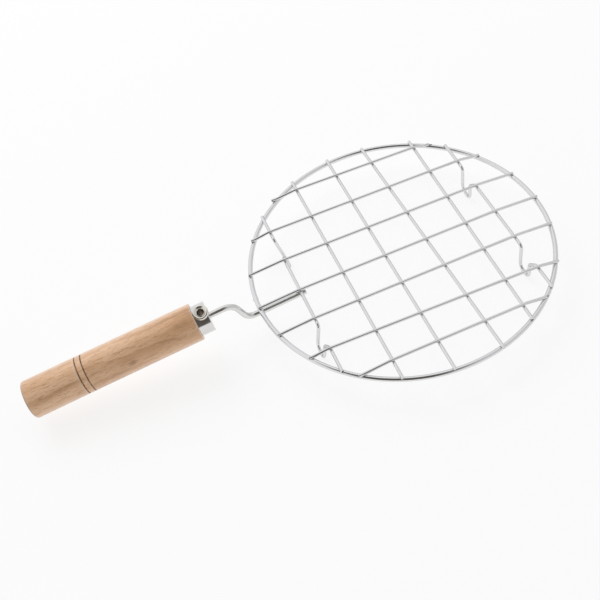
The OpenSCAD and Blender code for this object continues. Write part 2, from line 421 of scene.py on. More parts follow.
def cross_line(node):
    """A cross wire's line, from its far end on +Y to its near end."""
    near, far = wires[node]
    corners, bends = [far], []
    for turn_down, lean_deg in FEET.get(node, ()):
        for corner in foot_corners(turn_down, lean_deg):
            on_wire = near.lerp(far, (corner.y - near.y) / (far.y - near.y))
            corners.append(Vector((on_wire.x + corner.x, corner.y, corner.z)))
        bends += FOOT_BENDS
    return bent_line(corners + [near], bends)


lines |= {node: cross_line(node) for node in CROSS_NODES}
foot_floor = min(point.z for point in lines[CROSS_NODES[0]]) - CROSS_WIRE / 2
print("feet reach down to", round(foot_floor / MM, 2), "mm")

# %% [markdown]
# The rod runs under the first cross wire and under the rim, dips, and climbs in an S bend to
# the handle. The handle's own frame comes from the record: the hang hole gives its place, and
# the handle falls away from the rack by a small angle.

# %% Handle frame and the line of the rod
HANDLE_TILT = math.radians(5.8)
RIVET_FROM_FRONT = 4.3 * MM
CRANK_LOW, CRANK_TOP = (-119.7 * MM, -4.2 * MM), (-128 * MM, 16 * MM)
CRANK_BENDS = [7.5 * MM, 9.5 * MM]
ROD_INSIDE = 1.3 * MM
ROD_REACH = 4 * MM
WELD_SINK = 0.2 * MM

hang_hole = next(m for m in frame["record"]["mounts"] if m["name"] == "hang_hole")
rivet_centre = Vector(hang_hole["pos_m"])
rivet_axis = Vector(hang_hole["axis"]).normalized()
to_butt = Vector((-math.cos(HANDLE_TILT), 0, -math.sin(HANDLE_TILT)))
handle_up = Vector((-math.sin(HANDLE_TILT), 0, math.cos(HANDLE_TILT)))
handle_front = rivet_centre - to_butt * RIVET_FROM_FRONT


def placed(x_axis, y_axis, z_axis, origin):
    """The matrix of an object whose own axes lie along these directions."""
    turn = Matrix((x_axis, y_axis, z_axis)).transposed()
    return Matrix.Translation(origin) @ turn.to_4x4()


handle_frame = placed(handle_up, Vector((0, 1, 0)), to_butt, handle_front)
rivet_frame = placed(to_butt, rivet_axis.cross(to_butt), rivet_axis, rivet_centre)
rod_y = handle_front.y
first_cross_x = meeting(wires[CROSS_NODES[0]], wires[LONG_NODES[3]]).x
under_rim = Vector((-rim_radius, rod_y, rim_z - RIM_WIRE / 2 - ROD_WIRE / 2 + WELD_SINK))
under_cross = Vector((first_cross_x, rod_y, cross_z - CROSS_WIRE / 2 - ROD_WIRE / 2 + WELD_SINK))
rod_tip = under_cross + (under_cross - under_rim).normalized() * ROD_REACH
lines["handle_rod"] = bent_line(
    [
        rod_tip,
        Vector((CRANK_LOW[0], rod_y, rim_z + CRANK_LOW[1])),
        Vector((CRANK_TOP[0], rod_y, rim_z + CRANK_TOP[1])),
        handle_front + to_butt * ROD_INSIDE,
    ],
    CRANK_BENDS,
)
print("the rod climbs", round((handle_front.z - under_rim.z) / MM, 1), "mm to the handle")

# %% [markdown]
# ## The welds
# Every joint is a resistance weld: two wires pressed together while a current melts the spot
# between them. They sink into each other and squeeze out a thin collar. The list of welds is
# made first, because both the collars and the heat marks on the wires depend on it.

# %% List every weld
COLLAR_GAP = 0.55 * MM
ROD_COLLAR_GAP = 0.95 * MM


def weld(at, upper_heading, upper_wire, lower_heading, lower_wire, lower_z, gap=COLLAR_GAP):
    """What a collar needs to know about the two wires that it joins."""
    return {
        "at": Vector((at[0], at[1], lower_z + lower_wire / 2 - WELD_SINK / 2)),
        "upper": (upper_heading.to_2d().normalized(), upper_wire / 2),
        "lower": (lower_heading.to_2d().normalized(), lower_wire / 2),
        "gap": gap,
    }


def heading_of(node):
    """The direction in which a straight wire runs."""
    return wires[node][1] - wires[node][0]


def on_rim(node):
    """Where a wire's two ends lie over the middle of the rim."""
    for end, inwards in zip(wires[node], (1, -1)):
        heading = heading_of(node).normalized() * inwards
        yield end + heading * (end.to_2d().length - rim_radius)


grid_welds = [
    weld(at, heading_of(node), LONG_WIRE, heading_of(cross), CROSS_WIRE, cross_z)
    for node in LONG_NODES
    for cross, at in crossings_of(node)
]
rim_welds = [
    weld(at, heading_of(node), LONG_WIRE if node in LONG_NODES else CROSS_WIRE,
         UP.cross(Vector((at.x, at.y, 0))), RIM_WIRE, rim_z)
    for node in LONG_NODES + CROSS_NODES
    for at in on_rim(node)
]
rod_welds = [
    weld(at, Vector((0, 1, 0)), wire, Vector((1, 0, 0)), ROD_WIRE, at.z, ROD_COLLAR_GAP)
    for at, wire in ((under_rim, RIM_WIRE), (under_cross, CROSS_WIRE))
]
all_welds = grid_welds + rim_welds + rod_welds
print(len(grid_welds), "welds in the grid and", len(rim_welds + rod_welds), "on rim and rod")

# %% [markdown]
# ## Turning lines into wires
# A swept mesh puts a ring of points round the line at every step. Each point also keeps two
# facts that the materials read later: its place on the wire as if the wire were pulled
# straight, so that drawing marks follow the bends, and how near it is to a weld.

# %% Mesh helpers
HEAT_REACH = 2.6 * MM
WIRE_SIDES, ROD_SIDES = 20, 28


def heat_near_welds(points):
    """1 at a weld, falling away to 0 over a few millimetres."""
    away = np.full(len(points), np.inf)
    for welded in all_welds:
        away = np.minimum(away, np.linalg.norm(points - np.array(welded["at"]), axis=1))
    return np.exp(-((away / HEAT_REACH) ** 2))


def make_piece(name, points, faces, marks, material, nodes=(), place=None):
    """A mesh object that rides on the rack and stands for the given CAD nodes."""
    mesh = bpy.data.meshes.new(name)
    mesh.from_pydata(np.asarray(points).tolist(), [], faces)
    mesh.shade_smooth()
    for label, values in marks.items():
        values = np.asarray(values, np.float32)
        kind, field = ("FLOAT_VECTOR", "vector") if values.ndim == 2 else ("FLOAT", "value")
        mesh.attributes.new(label, kind, "POINT").data.foreach_set(field, values.ravel())
    mesh.materials.append(material)
    piece = add_object(name, mesh)
    if place is not None:
        piece.matrix_world = place
    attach(piece, "root")
    if nodes:
        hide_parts(*nodes)
    return piece


def unit_rows(rows):
    """Each row made one long."""
    return rows / np.linalg.norm(rows, axis=-1, keepdims=True)


def across_line(points, closed):
    """Two directions square to a line at each of its points. They never twist round it."""
    ahead = np.roll(points, -1, axis=0) - points
    behind = points - np.roll(points, 1, axis=0)
    if not closed:
        ahead[-1], behind[0] = behind[-1], ahead[0]
    along = unit_rows(unit_rows(ahead) + unit_rows(behind))
    side, sides = np.cross(along[0], UP), []
    for direction in along:
        side = side - direction * (side @ direction)
        side = side / np.linalg.norm(side)
        sides.append(side)
    return np.array(sides), np.cross(along, sides)


def ring_faces(rings, sides, closed):
    """Quads between neighbouring rings of points."""
    return [
        (r * sides + s, r * sides + (s + 1) % sides,
         (r + 1) % rings * sides + (s + 1) % sides, (r + 1) % rings * sides + s)
        for r in range(rings if closed else rings - 1)
        for s in range(sides)
    ]


def end_caps(rings, sides):
    """Triangles that close the first and last ring, each round one extra point after them all."""
    first, tail = rings * sides, (rings - 1) * sides
    near = [(first, (s + 1) % sides, s) for s in range(sides)]
    return near + [(first + 1, tail + s, tail + (s + 1) % sides) for s in range(sides)]


def prism_faces(count):
    """Faces of a straight prism whose two ends have this many points each."""
    ends = [tuple(reversed(range(count))), tuple(range(count, 2 * count))]
    return ring_faces(2, count, closed=False) + ends


def angles_round(sides):
    """Even steps round a full turn."""
    return np.arange(sides) * 2 * math.pi / sides


print("wires get", WIRE_SIDES, "sides and the rod", ROD_SIDES)

# %% [markdown]
# Wire is cut with shears, so its ends are flat with a slightly rounded lip. The sweep adds
# three small rings at each end for that lip and closes the end with triangles.

# %% Sweep a wire
CUT_LIP = 0.18 * MM
LIP_STEPS = 3


def with_lips(points, radius):
    """The line and its radii with extra steps that round off both cut ends."""
    turns = [math.pi / 2 * k / LIP_STEPS for k in reversed(range(LIP_STEPS))]
    ends = []
    for tip, inner in ((points[0], points[1]), (points[-1], points[-2])):
        inwards = (inner - tip) / np.linalg.norm(inner - tip)
        ends.append([tip + inwards * CUT_LIP * (1 - math.sin(turn)) for turn in turns])
    lip = [radius - CUT_LIP * (1 - math.cos(turn)) for turn in turns]
    radii = lip + [radius] * (len(points) - 2) + lip[::-1]
    return np.array(ends[0] + list(points[1:-1]) + ends[1][::-1]), np.array(radii)


def swept_wire(name, line, thickness, material, nodes, swell=None, closed=False, sides=WIRE_SIDES):
    """Round wire along a line. swell(along, angle) gives what to add to its radius, in metres."""
    points = np.array([tuple(p) for p in line])
    if closed:
        radii = np.full(len(points), thickness / 2)
    else:
        points, radii = with_lips(points, thickness / 2)
    side, over = across_line(points, closed)
    steps = np.linalg.norm(np.diff(points, axis=0), axis=1)
    along = np.concatenate([[0], np.cumsum(steps)])
    angle = angles_round(sides)
    grown = radii[:, None] + (swell(along[:, None], angle) if swell else 0)
    round_x, round_y = np.cos(angle) * grown, np.sin(angle) * grown
    shell = side[:, None] * round_x[..., None] + over[:, None] * round_y[..., None]
    shell += points[:, None]
    straight = np.stack([round_x, round_y, np.broadcast_to(along[:, None], round_x.shape)], axis=-1)
    shell, straight = shell.reshape(-1, 3), straight.reshape(-1, 3)
    faces = ring_faces(len(points), sides, closed)
    if not closed:
        shell = np.vstack([shell, points[:1], points[-1:]])
        straight = np.vstack([straight, (0, 0, 0), (0, 0, along[-1])])
        faces += end_caps(len(points), sides)
    marks = {"straight": straight, "heat": heat_near_welds(shell)}
    return make_piece(name, shell, faces, marks, material, nodes)


print("cut ends are rounded by", CUT_LIP / MM, "mm")

# %% [markdown]
# ## Effects that several materials share
# Drawn wire, pressed sheet and the rivet all carry fine parallel marks, heat tint or smudges.
# Each effect is a node group with named sockets, built once. The groups give out only masks,
# heights and colours, so every material keeps its own shader and its own constant values.

# %% Group helper
def new_group(name, inputs, outputs):
    """An empty node group with named sockets."""
    group = bpy.data.node_groups.new(name, "ShaderNodeTree")
    for label, kind, value in inputs:
        socket = group.interface.new_socket(label, in_out="INPUT", socket_type="NodeSocket" + kind)
        if value is not None:
            socket.default_value = value
    for label, kind in outputs:
        group.interface.new_socket(label, in_out="OUTPUT", socket_type="NodeSocket" + kind)
    return group, group.nodes.new("NodeGroupInput"), group.nodes.new("NodeGroupOutput")


def give(group, output, answers):
    """Links a group's answers to its named outputs."""
    for label, socket in answers.items():
        group.links.new(socket, output.inputs[label])
    print(group.name, "gives", ", ".join(answers))


def grouped(tree, group, inputs):
    """Uses a group in a material and hands back its outputs."""
    return put(tree, "Group", inputs, node_tree=group).outputs


# %% [markdown]
# A drawing die leaves hair-thin grooves along the wire. They are noise that is very fine across
# the wire and very long along it.

# %% Drawing marks
drawing_marks, given, result = new_group(
    "drawing_marks",
    [("Place", "Vector", None), ("Lines Across", "Float", 9000.0), ("Lines Along", "Float", 90.0)],
    [("Height", "Float"), ("Streaks", "Float")],
)
fineness = put(drawing_marks, "CombineXYZ", {
    "X": given.outputs["Lines Across"],
    "Y": given.outputs["Lines Across"],
    "Z": given.outputs["Lines Along"],
}).outputs[0]
fine_place = on_vectors(drawing_marks, "MULTIPLY", given.outputs["Place"], fineness)
give(drawing_marks, result, {
    "Height": noise(drawing_marks, fine_place, 1, 3, 0.65),
    "Streaks": noise(drawing_marks, fine_place, (0.2, 0.2, 0.35)),
})

# %% [markdown]
# Stainless steel that was hot turns straw, then brown, then blue-grey. Polishing takes most of
# it off, so the tint stays close to the weld and breaks up into spots.

# %% Heat tint
STRAW, BROWN, BLUE_GREY = (0.62, 0.54, 0.4, 1), (0.3, 0.25, 0.2, 1), (0.16, 0.16, 0.18, 1)
TINTS = ((STRAW, 0.35, 0.75, 0.8), (BROWN, 0.7, 0.95, 0.85), (BLUE_GREY, 0.9, 1.15, 0.9))

heat_tint, given, result = new_group(
    "heat_tint",
    [("Heat", "Float", 0.0), ("Metal", "Color", (0.7, 0.7, 0.7, 1)), ("Place", "Vector", None)],
    [("Color", "Color"), ("Burnt", "Float")],
)
blotches = noise(heat_tint, given.outputs["Place"], 1400, 3, 0.6)
blotches = remapped(heat_tint, blotches, 0.3, 0.7, 0.45, 1.25)
uneven = calculate(heat_tint, "MULTIPLY", given.outputs["Heat"], blotches)
color = given.outputs["Metal"]
for tint, low, high, most in TINTS:
    share = remapped(heat_tint, uneven, low, high, 0, most)
    color = mixed(heat_tint, share, color, tint)
give(heat_tint, result, {"Color": color, "Burnt": share})

# %% [markdown]
# Fingers leave faint cloudy smudges on metal and wood alike. They change how sharp the
# reflection is and hardly change the colour.

# %% Smudges
smudges, given, result = new_group(
    "smudges",
    [("Place", "Vector", None), ("Spots per Metre", "Float", 180.0)],
    [("Smudge", "Float"), ("Dust", "Float")],
)
cloud_place = on_vectors(smudges, "MULTIPLY", given.outputs["Place"], given.outputs["Spots per Metre"])
give(smudges, result, {
    "Smudge": remapped(smudges, noise(smudges, cloud_place, 1, 4, 0.6, 0.6), 0.35, 0.7, 0, 1),
    "Dust": remapped(smudges, noise(smudges, cloud_place, 14, 2, 0.6), 0.58, 0.75, 0, 1),
})

# %% [markdown]
# ## The metals
# All wires are bright drawn stainless. The rod is thicker and a little duller, and the weld
# metal is rough and dark. Three materials come from one function that takes the differences,
# so that they age alike.

# %% Steel of the wires, the rod and the welds
WIRE_METAL, ROD_METAL = (0.77, 0.77, 0.775, 1), (0.76, 0.755, 0.74, 1)
WELD_METAL, EDGE_GREY = (0.5, 0.49, 0.47, 1), (0.62, 0.62, 0.63, 1)


def drawn_steel(name, metal, lowest_rough, highest_rough, mark_depth, marks_along=90.0):
    """Bright drawn steel with lengthwise marks, heat tint at the welds and smudges."""
    material, tree, shader = new_material(name)
    place, heat = mark(tree, "straight", "Vector"), mark(tree, "heat")
    marks = grouped(tree, drawing_marks, {"Place": place, "Lines Along": marks_along})
    tint = grouped(tree, heat_tint, {"Heat": heat, "Metal": metal, "Place": place})
    smudge = grouped(tree, smudges, {"Place": place})
    streaks = remapped(tree, marks["Streaks"], 0.35, 0.65, lowest_rough, highest_rough)
    connect(tree, shader, {
        "Base Color": tint["Color"],
        "Metallic": 1.0,
        "Specular Tint": EDGE_GREY,
        "Roughness": weighted(tree, (streaks, 1), (smudge["Smudge"], 0.05), (tint["Burnt"], 0.3)),
        "Normal": bumped(tree, marks["Height"], mark_depth),
    })
    return material


wire_steel = drawn_steel("bright_wire", WIRE_METAL, 0.1, 0.2, 0.004 * MM)
rod_steel = drawn_steel("rod_steel", ROD_METAL, 0.16, 0.28, 0.006 * MM)
weld_steel = drawn_steel("weld_metal", WELD_METAL, 0.3, 0.45, 0.02 * MM, marks_along=5000.0)
print("three steels share", drawing_marks.name, "and", heat_tint.name)

# %% [markdown]
# ## The rim
# The rim is one wire bent to a ring and butt-welded. The two ends are pushed together while
# hot, so a lopsided lump rises round the joint. The ring starts and ends at that lump, which
# hides the place where the drawing marks meet.

# %% Make the rim
RIM_WELD_DEG = 176
RIM_STEPS = 720
LUMP_HEIGHT, LUMP_HALF = 0.3 * MM, 0.9 * MM


def butt_weld_lump(along, angle):
    """Extra radius round the rim's own joint, which lies at the start of its line."""
    whole = 2 * math.pi * rim_radius
    away = np.minimum(along, whole - along) / LUMP_HALF
    lopsided = 1 + 0.35 * np.sin(angle + 0.6) + 0.2 * np.sin(3 * angle + 2)
    return LUMP_HEIGHT * lopsided * np.exp(-(away**2)) * (1 + 0.3 * np.cos(5 * away))


start = math.radians(RIM_WELD_DEG)
rim_line = [
    Vector((math.cos(a), math.sin(a), 0)) * rim_radius + UP * rim_z
    for a in (start + 2 * math.pi * k / RIM_STEPS for k in range(RIM_STEPS))
]
all_welds.append({"at": rim_line[0] + UP * RIM_WIRE / 2})
rim = swept_wire("rim", rim_line, RIM_WIRE, wire_steel, ["rim_ring"], butt_weld_lump, closed=True)
print("rim has", len(rim.data.polygons), "faces")

# %% [markdown]
# ## The grid and the rod
# With the lines and the sweep in place, each wire is one call.

# %% Make the wires and the rod
for number, node in enumerate(LONG_NODES, 1):
    swept_wire(f"top_wire_{number}", lines[node], LONG_WIRE, wire_steel, [node])
for number, node in enumerate(CROSS_NODES, 1):
    swept_wire(f"under_wire_{number}", lines[node], CROSS_WIRE, wire_steel, [node])
rod = swept_wire("rod", lines["handle_rod"], ROD_WIRE, rod_steel, ["handle_rod"], sides=ROD_SIDES)
print(len(LONG_NODES) + len(CROSS_NODES), "wires and a rod of", len(rod.data.polygons), "faces")

# %% [markdown]
# ## Weld collars
# A collar fills the wedge between two crossed wires. Around the weld, at each angle, the gap
# between the two round surfaces widens outwards. The collar ends where that gap reaches a
# chosen size, and its outer face is slightly hollow. Its inner side is hidden in the metal.
# Melted metal is never even, so each collar gets its own random waviness from a fixed seed.

# %% Make the collars
COLLAR_SIDES, COLLAR_POINTS = 28, 8
COLLAR_WAVE, COLLAR_HEAT = 0.07, 0.8
COLLAR_SINK, COLLAR_TURNED_OUT = 0.3 * MM, 0.05 * MM
HALVINGS = 24
MOST_OF_RADIUS = 0.97
chance = np.random.default_rng(7)


def surface_drop(distance, across, radius):
    """How far a round wire's surface has fallen away at this distance from the weld."""
    reach = np.minimum(distance * across, radius * MOST_OF_RADIUS)
    return radius - np.sqrt(radius**2 - reach**2)


def collar(welded):
    """Points of one collar: a closed tube of eight points at each angle round the weld."""
    angle = angles_round(COLLAR_SIDES)
    outward = np.stack([np.cos(angle), np.sin(angle)], axis=1)
    (upper, upper_r), (lower, lower_r) = welded["upper"], welded["lower"]
    across_upper, across_lower = (
        np.abs(outward[:, 0] * way[1] - outward[:, 1] * way[0]) for way in (upper, lower)
    )
    wave = sum(
        chance.normal(0, COLLAR_WAVE / k) * np.cos(k * angle + chance.uniform(0, 2 * math.pi))
        for k in (1, 2, 3, 5)
    )
    target = welded["gap"] * (1 + 2 * wave)
    edge, beyond = np.zeros(COLLAR_SIDES), np.full(COLLAR_SIDES, upper_r + lower_r)
    for _ in range(HALVINGS):
        middle = (edge + beyond) / 2
        gap = surface_drop(middle, across_upper, upper_r) + surface_drop(middle, across_lower, lower_r)
        edge, beyond = np.where(gap < target, (middle, beyond), (edge, middle))
    top = surface_drop(edge, across_upper, upper_r) - WELD_SINK / 2
    bottom = WELD_SINK / 2 - surface_drop(edge, across_lower, lower_r)
    height = top - bottom
    hollow, bury = 0.16 * height, 0.12 * MM
    outline = [
        (edge * 0.35, (top + bottom) / 2),
        (edge - COLLAR_SINK, bottom - bury),
        (edge + COLLAR_TURNED_OUT, bottom - COLLAR_TURNED_OUT),
        (edge - hollow * 0.7, bottom + height * 0.28),
        (edge - hollow, bottom + height * 0.5),
        (edge - hollow * 0.7, bottom + height * 0.72),
        (edge + COLLAR_TURNED_OUT, top + COLLAR_TURNED_OUT),
        (edge - COLLAR_SINK, top + bury),
    ]
    rings = [np.column_stack([outward * r[:, None], z]) for r, z in outline]
    return np.stack(rings, axis=1).reshape(-1, 3) + np.array(welded["at"])


def collars(name, welded):
    """One piece with a collar for each of these welds."""
    points = np.vstack([collar(w) for w in welded])
    one = ring_faces(COLLAR_SIDES, COLLAR_POINTS, closed=True)
    starts = range(0, len(points), COLLAR_SIDES * COLLAR_POINTS)
    faces = [tuple(i + start for i in face) for start in starts for face in one]
    marks = {"straight": points, "heat": np.full(len(points), COLLAR_HEAT)}
    make_piece(name, points, faces, marks, weld_steel)


collars("grid_weld_collars", grid_welds)
collars("rim_weld_collars", rim_welds)
collars("rod_weld_collars", rod_welds)
print("collars made for", len(grid_welds + rim_welds + rod_welds), "welds")

# %% [markdown]
# ## Turned parts
# The wood, the ferrule and the rivet are all round about one axis, so each is an outline that
# is turned about Z and then placed with the handle's or the rivet's frame. Blender's Screw
# modifier could do it too. Building the rings directly lets an outline point carry facts such
# as how burnt the wood is there.

# %% Turn an outline
CRISP_DEG, PLATE_CRISP_DEG = 38, 30


def outline_of(corners, bends, step):
    """An outline as (radius, height) rows, with rounded corners."""
    line = bent_line([Vector((r, 0, z)) for r, z in corners], bends, step)
    return np.array([(p.x, p.z) for p in line])


def turned_shell(outline, sides, closed, shape=None):
    """Points and faces of an outline turned about Z. An open outline starts and ends on the axis."""
    angle = angles_round(sides)
    radius, height = outline[:, :1], np.broadcast_to(outline[:, 1:], (len(outline), sides))
    if shape:
        radius, height = shape(radius, height, angle)
    points = np.stack([radius * np.cos(angle), radius * np.sin(angle), height], axis=-1)
    points = points.reshape(-1, 3)
    faces = ring_faces(len(outline), sides, closed)
    if not closed:
        points = np.vstack([points, (0, 0, outline[0, 1]), (0, 0, outline[-1, 1])])
        faces += end_caps(len(outline), sides)
    return points, faces


def crisp(piece, degrees=CRISP_DEG):
    """Keeps edges sharper than this from being shaded round."""
    piece.data.set_sharp_from_angle(angle=math.radians(degrees))


print("turning helpers ready")

# %% [markdown]
# The rivet's hole runs through ferrule, wood and rod end. A Boolean modifier cuts the same round
# hole through all three, and is applied at once so that the mesh holds the result.

# %% Drill the rivet hole
RIVET_TUBE_R = 3.2 * MM
DRILL_HALF = 16 * MM
DRILL_SIDES = 64


def drill_rivet_hole(piece):
    """Cuts the rivet hole through a piece."""
    bpy.context.view_layer.update()
    points = [
        (RIVET_TUBE_R * math.cos(angle), RIVET_TUBE_R * math.sin(angle), z)
        for z in (-DRILL_HALF, DRILL_HALF)
        for angle in angles_round(DRILL_SIDES)
    ]
    mesh = bpy.data.meshes.new("drill")
    mesh.from_pydata(points, [], prism_faces(DRILL_SIDES))
    drill = add_object("drill", mesh)
    drill.matrix_world = rivet_frame
    cut = piece.modifiers.new("rivet_hole", "BOOLEAN")
    cut.operation, cut.solver, cut.object = "DIFFERENCE", "EXACT", drill
    now = bpy.context.evaluated_depsgraph_get()
    holed = bpy.data.meshes.new_from_object(piece.evaluated_get(now), depsgraph=now)
    piece.modifiers.clear()
    old, piece.data = piece.data, holed
    bpy.data.meshes.remove(old)
    bpy.data.objects.remove(drill)


print("the rivet hole is", 2 * RIVET_TUBE_R / MM, "mm wide")

# %% [markdown]
# ## Beech
# The grip is turned from a square stick of beech. Three things make it read as beech: soft
# growth rings that wander, short fibre dashes along the grain, and a few fine dark pores.
# Rings are circles round the tree's heart, which lies outside the stick, so the coordinates are
# moved there first. Everything else is noise that is squeezed along the length, so that its
# round spots turn into dashes.

# %% Beech figure
HEART_X, HEART_Y = 30 * MM, -14 * MM
RING_SCALE = 52.0
RING_WANDER = 9 * MM

beech, tree, shader = new_material("beech")
place = put(tree, "TexCoord").outputs["Object"]
drift = noise(tree, place, (55, 55, 17), answer="Color")
drift = on_vectors(tree, "MULTIPLY", drift, (RING_WANDER,) * 3)
from_heart = on_vectors(tree, "ADD", place, (HEART_X, HEART_Y, 0))
from_heart = on_vectors(tree, "ADD", from_heart, drift)
rings = put(tree, "TexWave", {
    "Vector": on_vectors(tree, "MULTIPLY", from_heart, (1, 1, 0.05)),
    "Scale": RING_SCALE,
    "Distortion": 2.0,
    "Detail": 2.0,
    "Detail Scale": 3.0,
}, wave_type="RINGS", rings_direction="Z", wave_profile="SAW").outputs["Fac"]
broad = noise(tree, place, (120, 120, 20), 2, 0.55)
dashes = noise(tree, place, (1250, 1250, 170), 3, 0.6, 0.5)
fibres = noise(tree, place, (4200, 4200, 130), 3, 0.65)
pores = noise(tree, place, (3000, 3000, 420), 1, 0.4)
print("beech rings lie about", round(math.pi / 10 / RING_SCALE / MM, 1), "mm apart")

# %% [markdown]
# The figure is turned into colour in layers, palest first. Beech is a pinkish tan: the darker
# layers only deepen it, and none of them comes near brown except the pores.

# %% Beech colour
BEECH_PALE, BEECH_MID = (0.92, 0.6, 0.37, 1), (0.74, 0.43, 0.225, 1)
BEECH_DEEP, PORE_BROWN = (0.5, 0.26, 0.12, 1), (0.3, 0.14, 0.065, 1)


def layered(color_below, value, low, high, most, color):
    """Lays a colour over another where a value is high."""
    return mixed(tree, remapped(tree, value, low, high, 0, most), color_below, color)


tone = weighted(tree, (rings, 0.16), (broad, 0.75), (fibres, 0.3))
wood_color = layered(BEECH_PALE, tone, 0.4, 0.72, 1.0, BEECH_MID)
wood_color = layered(wood_color, tone, 0.64, 0.86, 0.7, BEECH_DEEP)
wood_color = layered(wood_color, dashes, 0.52, 0.66, 0.6, BEECH_DEEP)
wood_color = layered(wood_color, calculate(tree, "SUBTRACT", 1.0, dashes), 0.56, 0.7, 0.5, BEECH_PALE)
pore_mask = remapped(tree, pores, 0.64, 0.74, 0, 0.55)
wood_color = mixed(tree, pore_mask, wood_color, PORE_BROWN)
print("beech colours run from", BEECH_PALE[:3], "to", BEECH_DEEP[:3])

# %% [markdown]
# One small knot sits on the near side. It is a darker spot whose edge is broken by the same
# fibres. The two grooves were burnt in with a wire held against the spinning wood, so they are
# brown in the bottom. Beside each groove and at the sharp shoulder a pale band is a painted
# highlight, where the edge catches the light. The butt end is darker end grain with painted shade.

# %% Knot, burnt grooves, painted highlights, and end grain with painted shade
KNOT_PLACE = (4.5 * MM, -13 * MM, 60.5 * MM)
KNOT_REACH = 2.8 * MM
# The pale colour is a painted highlight, laid where the groove edges and the shoulder catch the light.
LIP_PAINTED_HIGHLIGHT, END_GRAIN_AND_SHADE = (0.86, 0.64, 0.46, 1), (0.2, 0.14, 0.1, 1)
CHAR = (0.13, 0.045, 0.018, 1)

from_knot = on_vectors(tree, "SUBTRACT", place, KNOT_PLACE)
from_knot = on_vectors(tree, "LENGTH", on_vectors(tree, "MULTIPLY", from_knot, (1, 1, 0.6)))
knot = remapped(tree, from_knot, KNOT_REACH * 0.2, KNOT_REACH, 0.6, 0)
knot = calculate(tree, "MULTIPLY", knot, remapped(tree, dashes, 0.3, 0.6, 0.5, 1))
wood_color = mixed(tree, knot, wood_color, PORE_BROWN)
# The butt's dark colour is partly the darker end grain and partly painted shade on the face that turns
# from the light.
for label, most, color in (("end_grain_and_shade", 0.85, END_GRAIN_AND_SHADE), ("lip", 0.7, LIP_PAINTED_HIGHLIGHT)):
    share = calculate(tree, "MULTIPLY", mark(tree, label), most)
    wood_color = mixed(tree, share, wood_color, color)
char_spots = remapped(tree, noise(tree, place, 700, 3, 0.6), 0.3, 0.65, 0.55, 1.1)
char_mask = calculate(tree, "MULTIPLY", mark(tree, "char"), char_spots)
char_mask.node.use_clamp = True
wood_color = mixed(tree, char_mask, wood_color, CHAR)
print("the wood reads the marks end_grain_and_shade, lip and char")

# %% [markdown]
# The wood was sanded and never varnished. It is mostly matt, with open fibres that can be felt,
# and a little shinier where hands have rubbed it. The raised fibre ends give a whitish sheen
# where the surface turns away. Burnt wood has neither shine nor sheen.

# %% Beech surface
FIBRE_DEPTH = 0.05 * MM
FIBRE_SHEEN = 0.9

rubbed = grouped(tree, smudges, {"Place": place, "Spots per Metre": 60.0})
open_fibres = remapped(tree, dashes, 0.3, 0.7, 0.5, 0.62)
fibre_height = weighted(tree, (fibres, 0.35), (dashes, 0.5), (pore_mask, -1))
connect(tree, shader, {
    "Base Color": wood_color,
    "Roughness": weighted(tree, (open_fibres, 1), (rubbed["Smudge"], -0.08)),
    "Specular IOR Level": remapped(tree, char_mask, 0, 1, 0.5, 0),
    "Sheen Weight": remapped(tree, char_mask, 0, 1, FIBRE_SHEEN, 0),
    "Sheen Roughness": 0.5,
    "Sheen Tint": (1, 0.95, 0.93, 1),
    "Normal": bumped(tree, fibre_height, FIBRE_DEPTH),
})
print("fibres stand up to", FIBRE_DEPTH / MM, "mm proud")

# %% [markdown]
# ## The grip
# The outline goes from the hidden tenon over the shoulder, along the slight taper and round
# the butt. The grooves are cut into the outline itself, so that they are real hollows. Sanding
# by hand leaves the round a few hundredths of a millimetre out of true.

# %% Make the grip
FERRULE_LENGTH, FERRULE_WALL, FERRULE_R = 10 * MM, 0.8 * MM, 11.1 * MM
WOOD_LENGTH, BUTT_R, SHOULDER_R = 127 * MM, 13.85 * MM, 13.6 * MM
GROOVES_FROM_BUTT = (40.5 * MM, 45 * MM)
GROOVE_HALF, GROOVE_DEPTH, CHAR_HALF = 0.45 * MM, 0.5 * MM, 0.48 * MM
SHOULDER_ROUND, BUTT_ROUND = 0.7 * MM, 2 * MM
LIP_FROM_GROOVE, LIP_HALF = 0.85 * MM, 0.35 * MM
FINE_NEAR_GROOVE, FINE_STEPS = 2.5 * MM, 16
SANDED_OVAL, SANDED_RIPPLE = 0.035 * MM, 0.02 * MM
END_GRAIN_SHADE_FROM, END_GRAIN_SHADE_OVER = 1.3 * MM, 0.8 * MM
GRIP_SIDES = 160
TENON_R = FERRULE_R - FERRULE_WALL
butt_z = FERRULE_LENGTH + WOOD_LENGTH


def from_groove(height):
    """Distance along the handle from the nearest groove."""
    return np.min([np.abs(height - (butt_z - g)) for g in GROOVES_FROM_BUTT], axis=0)


def grip_outline():
    """The wood's outline, finer round the grooves."""
    corners = [(TENON_R, FERRULE_WALL), (TENON_R, FERRULE_LENGTH), (SHOULDER_R, FERRULE_LENGTH),
               (BUTT_R, butt_z), (0.5 * MM, butt_z)]
    rough = outline_of(corners, [0.01 * MM, SHOULDER_ROUND, BUTT_ROUND], 1.5 * MM)
    fine = []
    for before, after in zip(rough, rough[1:]):
        fine.append(before)
        near = from_groove(after[1]) < FINE_NEAR_GROOVE
        count = FINE_STEPS if near and before[1] < after[1] else 1
        fine += [before + (after - before) * k / count for k in range(1, count)]
    return np.array(fine + [rough[-1]])


def sanded_round(radius, height, angle):
    """Cuts the grooves and adds the slight unevenness of hand sanding."""
    groove = GROOVE_DEPTH * np.clip(1 - from_groove(height) / GROOVE_HALF, 0, 1) ** 0.8
    uneven = SANDED_OVAL * np.sin(2 * angle + height * 40)
    uneven = uneven + SANDED_RIPPLE * np.sin(5 * angle - height * 90)
    outside = np.clip((radius - TENON_R) / (1 * MM), 0, 1)
    return radius + (uneven - groove) * outside, height


